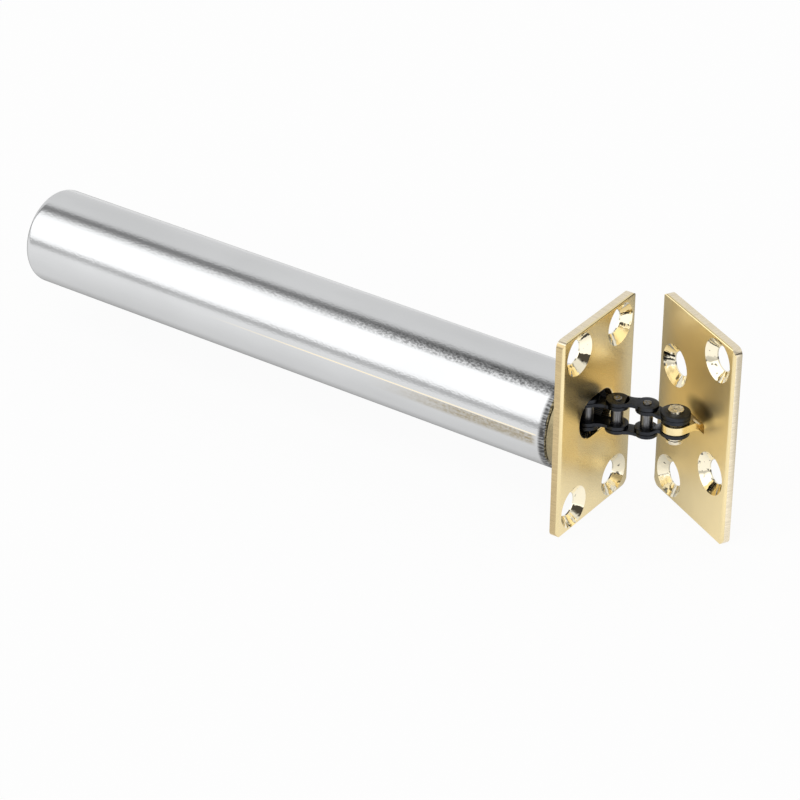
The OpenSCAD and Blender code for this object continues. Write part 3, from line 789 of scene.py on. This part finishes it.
def link_blank(name, end_radius, height, holes):
    """A link plate's waisted outline as a prism, between the pin at the origin and the next."""
    waist = sizes().waist_radius
    from_a, from_b = LOBE_R + waist, end_radius + waist
    cx = (PITCH**2 + from_a**2 - from_b**2) / (2 * PITCH)
    cy = math.sqrt(from_a**2 - cx**2)
    piece = rod(name, LOBE_R, height, (0, 0, 0))
    carve(piece, rod("tool", end_radius, height, (PITCH, 0, 0)), "UNION")
    web = 1.44 * LOBE_R
    carve(piece, block("tool", (PITCH / 2, 0, 0), (PITCH * 0.9, web, height)), "UNION")
    for side in (-1, 1):
        carve(piece, rod("tool", waist, 3 * height, (cx, side * cy, 0)))
    for x, radius in zip((0, PITCH), holes):
        carve(piece, rod("tool", radius, 3 * height, (x, 0, 0), sides=64))
    return piece


def link_plate(name, start, body, holes, end_radius=None):
    """A link plate in place of its CAD node. The end link's plates are cranked to the tongue."""
    low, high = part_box(name)
    upper = low.z > CHAIN_Z
    if end_radius:
        first, last = (high.z - LINK_T, low.z) if upper else (low.z, high.z - LINK_T)
        piece = link_blank(name + "_dressed", end_radius, 6 * LINK_T, holes)
        slab = block("slab", (PITCH / 2, 0, LINK_T / 2), (3 * PITCH, 3 * LOBE_R, LINK_T))
        crank(slab, sizes().bush_radius + 0.3 * MM, PITCH - end_radius, first - last, 59)
        carve(piece, slab, "INTERSECT")
    else:
        first = low.z
        piece = link_blank(name + "_dressed", LOBE_R, LINK_T, holes)
        put(piece, Matrix.Translation((0, 0, LINK_T / 2)))
    soften(piece, sizes().link_edge, 3)
    put(piece, at_pin(start) @ Matrix.Translation((0, 0, first - CHAIN_Z)))
    return dress(piece, body, "black_steel", [name], "black")


def bush(name, index, height):
    """A rolled bush with its closed split, standing at a pin."""
    outer = sizes().bush_radius
    piece = rod(name, outer, height, (0, 0, 0))
    carve(piece, rod("tool", sizes().pin_radius + sizes().pin_run, 2 * height, (0, 0, 0), sides=64))
    split_w, split_d = 0.14 * MM, 0.2 * MM
    carve(piece, block("tool", (0, -outer, 0), (split_w, 2 * split_d, 2 * height)))
    soften(piece, 0.1 * MM)
    return put(piece, at_pin(index, Vector((1, 0, 0))) @ Matrix.Rotation(math.radians(35), 4, "Z"))


# Steps on a riveted pin's end, from its rim inwards, as width and rise in mm
PIN_STEPS = ((0.22, 0.1), (0.3, 0.02), (0.25, -0.16))


def chain_pin(name, index, height):
    """A riveted pin with spread, dimpled steel ends; its sides take the black finish as painted shade."""
    piece = rod(name, sizes().pin_radius, height, (0, 0, 0), sides=64)
    for end in (-1, 1):
        pick(piece, "polygons", lambda face: face.normal.z * end > ALONG)
        for inwards, rise in PIN_STEPS:
            bpy.ops.mesh.inset(thickness=inwards * MM, depth=rise * MM)
        bpy.ops.object.mode_set(mode="OBJECT")
    soften(piece, 0.06 * MM)
    for face in piece.data.polygons:
        # Steel on the ends; the sides are painted black for the shade and the black plates that they reflect.
        face.material_index = 0 if abs(face.normal.z) > 0.6 else 1
    return put(piece, at_pin(index, Vector((1, 0, 0))))


def together(name, parts):
    """Joins like pieces into one."""
    only(parts[0])
    for part in parts[1:]:
        part.select_set(True)
    bpy.ops.object.join()
    parts[0].name = parts[0].data.name = name
    return parts[0]


class CLOSER_OT_chain(bpy.types.Operator):
    """Models the chain's link plates, bushes and pins"""

    bl_idname = "closer.chain"
    bl_label = "Chain"

    def execute(self, context):
        fit = 0.01 * MM
        inner_hole, outer_hole = sizes().bush_radius + fit, sizes().pin_radius + fit
        for level in ("upper", "lower"):
            link_plate(f"link_a_{level}_plate", 0, "link_a", (inner_hole, inner_hole))
            link_plate(f"link_b_{level}_plate", 1, "link_b", (outer_hole, outer_hole))
            link_plate(
                f"link_c_{level}_plate", 2, "link_c", (inner_hole, sizes().end_pin_radius + fit), END_R
            )
        bush_h = size_of("link_c_bush").z
        pair = together("link_a_bushes_dressed", [bush(f"bush_{i}", i, bush_h) for i in (0, 1)])
        dress(pair, "link_a", "black_steel", ["link_a_bushes"], "burnished")
        single = bush("link_c_bush_dressed", 2, bush_h)
        dress(single, "link_c", "black_steel", ["link_c_bush"], "burnished")
        pin_h = size_of("yoke_pin").z - 0.24 * MM
        pins = together("link_b_pins_dressed", [chain_pin(f"pin_{i}", i, pin_h) for i in (1, 2)])
        # The pins' second finish, black, is painted shade on their sides.
        dress(pins, "link_b", "pin_steel", ["link_b_pins"], "riveted", "black")
        return {"FINISHED"}


def washer(node, rounding):
    """A washer on the end pin, in place of its CAD node."""
    low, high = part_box(node)
    centre = (PINS[3].x, PINS[3].y, (low.z + high.z) / 2)
    piece = rod(node + "_dressed", (high.x - low.x) / 2, high.z - low.z, centre)
    carve(piece, rod("tool", sizes().end_pin_radius + NEAR, 9 * MM, centre, sides=64))
    return soften(piece, rounding, 4)


def end_pin():
    """The end pin's shank, with a hammered head and a foot below a collar."""
    low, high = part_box("end_pin")
    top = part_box("end_washer")[1].z
    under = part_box("link_c_lower_plate")[1].z - LINK_T
    pin = PINS[3]
    piece = rod("end_pin_dressed", sizes().end_pin_radius, top - low.z, (pin.x, pin.y, (top + low.z) / 2))
    for name, radius, height in (
        ("collar", sizes().foot_collar, under - low.z), ("foot", sizes().foot_radius, sizes().foot_height)
    ):
        carve(piece, rod(name, radius, height, (pin.x, pin.y, low.z + height / 2)), "UNION")
    soften(piece, 0.15 * MM, 3)
    head_h = high.z - top
    lift = 0.12 * MM
    centre = (pin.x, pin.y, top + (head_h - lift) / 2)
    head = rod("head", sizes().head_radius, head_h - lift, centre, sides=48)
    pick(head, "polygons", lambda face: face.normal.z > ALONG)
    for ring in range(5):
        bpy.ops.mesh.inset(thickness=0.33 * MM, depth=0.0)
    bpy.ops.object.mode_set(mode="OBJECT")
    pick(head, "vertices", lambda v: v.co.z > high.z - lift - NEAR)
    bpy.ops.transform.vertex_random(offset=lift, normal=0.2, seed=4)
    bpy.ops.object.mode_set(mode="OBJECT")
    smooth(head, 60)
    # The head's sides take the black finish: painted shade where they reflect the black washer.
    for face in head.data.polygons:
        face.material_index = 1 if face.normal.z < 0.4 else 0
    return together("end_pin_dressed", [piece, head])


def tongue():
    """The brass eye and its neck, which falls to the anchor plate, and the bar in the plate's back."""
    thick, fall = sizes().tongue_thick, sizes().tongue_fall
    neck_l = TONGUE_REACH + PLATE_T
    eye = rod("tongue_dressed", sizes().eye_radius, thick, (0, 0, 0))
    neck = block("neck", (-TONGUE_REACH / 2, 0, 0), (TONGUE_REACH, sizes().tongue_root, thick))
    flare = sizes().eye_radius - sizes().tongue_root / 2
    for side in (-1, 1):
        pick(neck, "vertices", lambda v: v.co.x > -NEAR and side * v.co.y > 0)
        bpy.ops.transform.translate(value=(0, side * flare, 0))
    pick(neck, "polygons", lambda face: face.normal.x < -ALONG)
    bpy.ops.mesh.extrude_region_move(TRANSFORM_OT_translate={"value": (-PLATE_T, 0, 0)})
    bpy.ops.object.mode_set(mode="OBJECT")
    crank(neck, -END_R, -TONGUE_REACH, fall, 29)
    carve(eye, neck, "UNION")
    carve(eye, rod("tool", sizes().end_pin_radius + sizes().pin_run, 3 * thick, (0, 0, 0), sides=64))
    soften(eye, sizes().tongue_edge, 4, 50)
    bar_l = sizes().bar_depth
    bar = block("bar", (bar_l / 2 - neck_l, 0, -fall), (bar_l, sizes().bar_width, thick))
    soften(bar, 0.12 * MM)
    piece = together("tongue_dressed", [eye, bar])
    return put(piece, Matrix.Translation(PINS[3]) @ Matrix.Rotation(ANCHOR_TURN, 4, "Z"))


class CLOSER_OT_end_joint(bpy.types.Operator):
    """Models the end pin with its washers, and the tongue"""

    bl_idname = "closer.end_joint"
    bl_label = "End pin and tongue"

    def execute(self, context):
        dress(washer("end_washer", 0.22 * MM), "link_c", "black_steel", ["end_washer"], "black")
        spacer = washer("tongue_spacer", 0.1 * MM)
        dress(spacer, "link_c", "plain_steel", ["tongue_spacer"], "steel")
        # The end pin's second finish, black, is painted shade on its head's sides.
        dress(end_pin(), "link_c", "bright_steel", ["end_pin"], "peened", "black")
        dress(tongue(), "anchor", "brass_plate", ["tongue"], "satin_anchor")
        return {"FINISHED"}


class CLOSER_OT_inner_parts(bpy.types.Operator):
    """Gives the pieces inside the tube their finishes"""

    bl_idname = "closer.inner_parts"
    bl_label = "Inner parts"

    def execute(self, context):
        finish_of = {
            "rear_buffer": "nylon", "chain_guide": "nylon", "front_spring_seat": "steel",
            "main_spring": "spring", "draw_rod": "steel", "rod_stop_nut": "steel", "lock_nut": "steel",
            "chain_yoke": "black", "yoke_pin": "riveted", "plunger": "steel", "plunger_ring": "nylon",
            "rear_spring_seat": "steel",
        }
        for node, name in finish_of.items():
            mesh = frame["nodes"][node].data
            mesh.materials.clear()
            mesh.materials.append(finish(name))
        return {"FINISHED"}


# The camera, fitted to the photograph's outlines
CAMERA_AZIMUTH = math.radians(35.091)
CAMERA_HEIGHT = math.radians(30.809)
CAMERA_ROLL = math.radians(0.424)
CAMERA_DISTANCE = 835.0 * MM
CAMERA_ASIDE = -52.18 * MM
CAMERA_ABOVE = 4.223 * MM
CAMERA_LENS = 141.77
FLOOR_SIZE = 12.0

# Brightness of the studio round the tube, by degrees from the front horizon up and over to the back
STUDIO = (
    (-180, 0.4), (-4, 0.62), (1, 0.62), (4, 1.0), (8, 1.32), (14, 1.45), (60, 1.45), (72, 1.3),
    (78, 0.8), (84, 0.4), (90, 0.26), (95, 0.3), (100, 0.64), (108, 0.84), (150, 0.8), (180, 0.8),
)
# The dark gap beyond the plates, as heights and sideways shares of a sight line
GAP_HEIGHT, GAP_ASIDE = (0, 0.3, 0.1, 0.1), (0.4, 0.5)
GAP_COLOUR = (0.05, 0.045, 0.04, 1)
# Painted brightness of the paper in polished metal, by distance in mm behind the tube's axis: a painted shadow
# under the tube, and painted light and shade between and beyond the plates
FLOOR_NEAR, FLOOR_FAR = -600, 160
PAINTED_LIGHT_UNDER_TUBE = (
    (FLOOR_NEAR, 0.5), (-247, 0.6), (-185, 0.9), (-122, 1.1), (-71, 1.08), (-36, 0.98), (-13, 0.85),
    (-5, 0.58), (3, 0.37), (13, 0.22), (27, 0.25), (70, 0.25), (100, 0.6), (120, 0.9), (FLOOR_FAR, 0.9),
)
PAINTED_LIGHT_AT_PLATES = (
    (FLOOR_NEAR, 1.1), (-4, 1.1), (8, 0.95), (16, 0.66), (24, 0.45), (50, 0.52), (80, 0.6),
    (100, 0.5), (130, 0.08), (FLOOR_FAR, 0.08),
)
# Where the second takes over from the first along the tube, and where painted light makes the paper brighter still
PLATES_REACHED, BEYOND, PAINTED_LIGHT_BEYOND = (-12, 4), (25, 60), 1.2
# Share of that painted brightness in what metal sees, and of plain white in what the camera sees
GLOW_SHARE, WHITE_SHARE = 0.75, 0.93
PAPER, WHITE = (0.86, 0.86, 0.86, 1), (1, 1, 1, 1)


def brightness_ramp(tree, share, low, high, bands):
    """A ramp of grey over bands given as places and values, with its peak value."""
    grey = add_node(tree, "ShaderNodeValToRGB", {}, {0: share})
    stops = grey.node.color_ramp.elements
    peak = max(value for place, value in bands)
    stops.remove(stops[1])
    for i, (place, value) in enumerate(bands):
        position = (place - low) / (high - low)
        stop = stops[0] if i == 0 else stops.new(position)
        stop.position = position
        stop.color = [value / peak] * 3 + [1]
    return grey, peak


def studio_world():
    """A white tent with a dark gap overhead, as bands round the tube's axis, and a dark gap low
    down beyond the plates."""
    world = bpy.data.worlds.new("studio")
    bpy.context.scene.world = world
    world.use_nodes = True
    tree = world.node_tree
    tree.nodes.clear()
    place = add_node(tree, "ShaderNodeTexCoord", output="Generated")
    x, y, z = add_node(tree, "ShaderNodeSeparateXYZ", {}, {0: place}).node.outputs
    angle = angle_round_x(tree, y, z)
    share = add_node(tree, "ShaderNodeMapRange", {1: -math.pi, 2: math.pi}, {0: angle})
    bands, peak = brightness_ramp(tree, share, -180, 180, STUDIO)
    aside = add_node(tree, "ShaderNodeMapRange", {1: GAP_ASIDE[0], 2: GAP_ASIDE[1]}, {0: x})
    gap = all_of(tree, band(tree, z, *GAP_HEIGHT), aside)
    settings = {"data_type": "RGBA", 7: GAP_COLOUR}
    dimmed = add_node(tree, "ShaderNodeMix", settings, {0: gap, 6: bands}, 2)
    tent = add_node(tree, "ShaderNodeBackground", {"Strength": peak}, {"Color": dimmed})
    white = add_node(tree, "ShaderNodeBackground", {"Color": WHITE, "Strength": 1.0})
    seen = add_node(tree, "ShaderNodeLightPath", output="Is Camera Ray")
    mixed = add_node(tree, "ShaderNodeMixShader", {}, {0: seen, 1: tent, 2: white})
    add_node(tree, "ShaderNodeOutputWorld", {}, {"Surface": mixed})


def floor_paper():
    """Matt white paper. The camera sees a part of its shadows, and polished metal sees mostly a painted glow:
    painted shadow under the tube and behind the plates, painted light in front and beyond."""
    material = bpy.data.materials.new("floor_paper")
    material.use_nodes = True
    tree = material.node_tree
    tree.nodes.clear()
    place = add_node(tree, "ShaderNodeTexCoord", output="Object")
    x, y = add_node(tree, "ShaderNodeSeparateXYZ", {}, {0: place}).node.outputs[:2]
    share = add_node(tree, "ShaderNodeMapRange", {1: FLOOR_NEAR * MM, 2: FLOOR_FAR * MM}, {0: y})
    under, under_peak = brightness_ramp(tree, share, FLOOR_NEAR, FLOOR_FAR, PAINTED_LIGHT_UNDER_TUBE)
    at_plates, plates_peak = brightness_ramp(tree, share, FLOOR_NEAR, FLOOR_FAR, PAINTED_LIGHT_AT_PLATES)
    start, end = (place_mm * MM for place_mm in PLATES_REACHED)
    reached = add_node(tree, "ShaderNodeMapRange", {**SOFT, 1: start, 2: end}, {0: x})
    settings = {"data_type": "RGBA"}
    # The painted light and shade that polished metal sees on the paper.
    painted_floor_light = add_node(tree, "ShaderNodeMix", settings, {0: reached, 6: under, 7: at_plates}, 2)
    strength = add_node(tree, "ShaderNodeMapRange", {3: under_peak, 4: plates_peak}, {0: reached})
    start, end = (place_mm * MM for place_mm in BEYOND)
    limits = {1: start, 2: end, 3: 1.0, 4: PAINTED_LIGHT_BEYOND}
    beyond = add_node(tree, "ShaderNodeMapRange", {**SOFT, **limits}, {0: x})
    glow_strength = all_of(tree, strength, beyond)

    paper = add_node(tree, "ShaderNodeBsdfDiffuse", {"Color": PAPER})
    white = add_node(tree, "ShaderNodeEmission", {"Color": WHITE, "Strength": 1.0})
    glow = add_node(tree, "ShaderNodeEmission", {}, {"Color": painted_floor_light, "Strength": glow_strength})
    path = add_node(tree, "ShaderNodeLightPath").node.outputs
    in_metal = add_node(tree, "ShaderNodeMixShader", {0: GLOW_SHARE}, {1: paper, 2: glow})
    by_eye = add_node(tree, "ShaderNodeMixShader", {0: WHITE_SHARE}, {1: paper, 2: white})
    seen = add_node(
        tree, "ShaderNodeMixShader", {}, {0: path["Is Camera Ray"], 1: paper, 2: by_eye}
    )
    mixed = add_node(
        tree, "ShaderNodeMixShader", {}, {0: path["Is Glossy Ray"], 1: seen, 2: in_metal}
    )
    add_node(tree, "ShaderNodeOutputMaterial", {}, {"Surface": mixed})
    return material


class CLOSER_OT_studio(bpy.types.Operator):
    """Sets up the floor, the light and the camera"""

    bl_idname = "closer.studio"
    bl_label = "Studio"

    def execute(self, context):
        only(None)
        floor_z = min(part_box("face_plate")[0].z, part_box("anchor_plate")[0].z) - 0.1 * MM
        bpy.ops.mesh.primitive_plane_add(size=FLOOR_SIZE, location=(0, 0, floor_z))
        floor = settle(context.object, "floor")
        floor.data.materials.append(floor_paper())
        studio_world()

        back = Vector((
            math.sin(CAMERA_AZIMUTH) * math.cos(CAMERA_HEIGHT),
            -math.cos(CAMERA_AZIMUTH) * math.cos(CAMERA_HEIGHT),
            math.sin(CAMERA_HEIGHT),
        ))
        right = Vector((math.cos(CAMERA_AZIMUTH), math.sin(CAMERA_AZIMUTH), 0))
        up = back.cross(right)
        right_rolled = right * math.cos(CAMERA_ROLL) + up * math.sin(CAMERA_ROLL)
        up_rolled = back.cross(right_rolled)
        place = back * CAMERA_DISTANCE + right_rolled * CAMERA_ASIDE + up_rolled * CAMERA_ABOVE
        bpy.ops.object.camera_add()
        camera = context.object
        camera.name = "camera"
        turn = Matrix((right_rolled, up_rolled, back)).transposed().to_4x4()
        camera.matrix_world = Matrix.Translation(place) @ turn
        camera.data.lens = CAMERA_LENS
        camera.data.sensor_width = 36
        camera.data.sensor_fit = "HORIZONTAL"
        camera.data.clip_start = 10 * MM
        context.scene.camera = camera
        context.scene.view_settings.view_transform = "Standard"
        return {"FINISHED"}


class CLOSER_PT_panel(bpy.types.Panel):
    """Lists the closer's pieces in the sidebar"""

    bl_idname = "CLOSER_PT_panel"
    bl_label = "Door closer"
    bl_space_type = "VIEW_3D"
    bl_region_type = "UI"
    bl_category = "Door closer"

    def draw(self, context):
        for operator in OPERATORS:
            self.layout.operator(operator.bl_idname)
        for group in (sizes(), colours()):
            for name in group.__annotations__:
                self.layout.prop(group, name)


OPERATORS = (
    CLOSER_OT_studio, CLOSER_OT_tube, CLOSER_OT_face_plate, CLOSER_OT_anchor_plate, CLOSER_OT_chain,
    CLOSER_OT_end_joint, CLOSER_OT_inner_parts,
)
CLASSES = (CloserSizes, CloserColours, *OPERATORS, CLOSER_PT_panel)


def register():
    for cls in CLASSES:
        bpy.utils.register_class(cls)
    bpy.types.Scene.closer_sizes = bpy.props.PointerProperty(type=CloserSizes)
    bpy.types.Scene.closer_colours = bpy.props.PointerProperty(type=CloserColours)


def unregister():
    del bpy.types.Scene.closer_colours
    del bpy.types.Scene.closer_sizes
    for cls in reversed(CLASSES):
        bpy.utils.unregister_class(cls)


def main():
    """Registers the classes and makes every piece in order."""
    register()
    for operator in OPERATORS:
        group, action = operator.bl_idname.split(".")
        getattr(getattr(bpy.ops, group), action)()


if __name__ == "__main__":
    main()
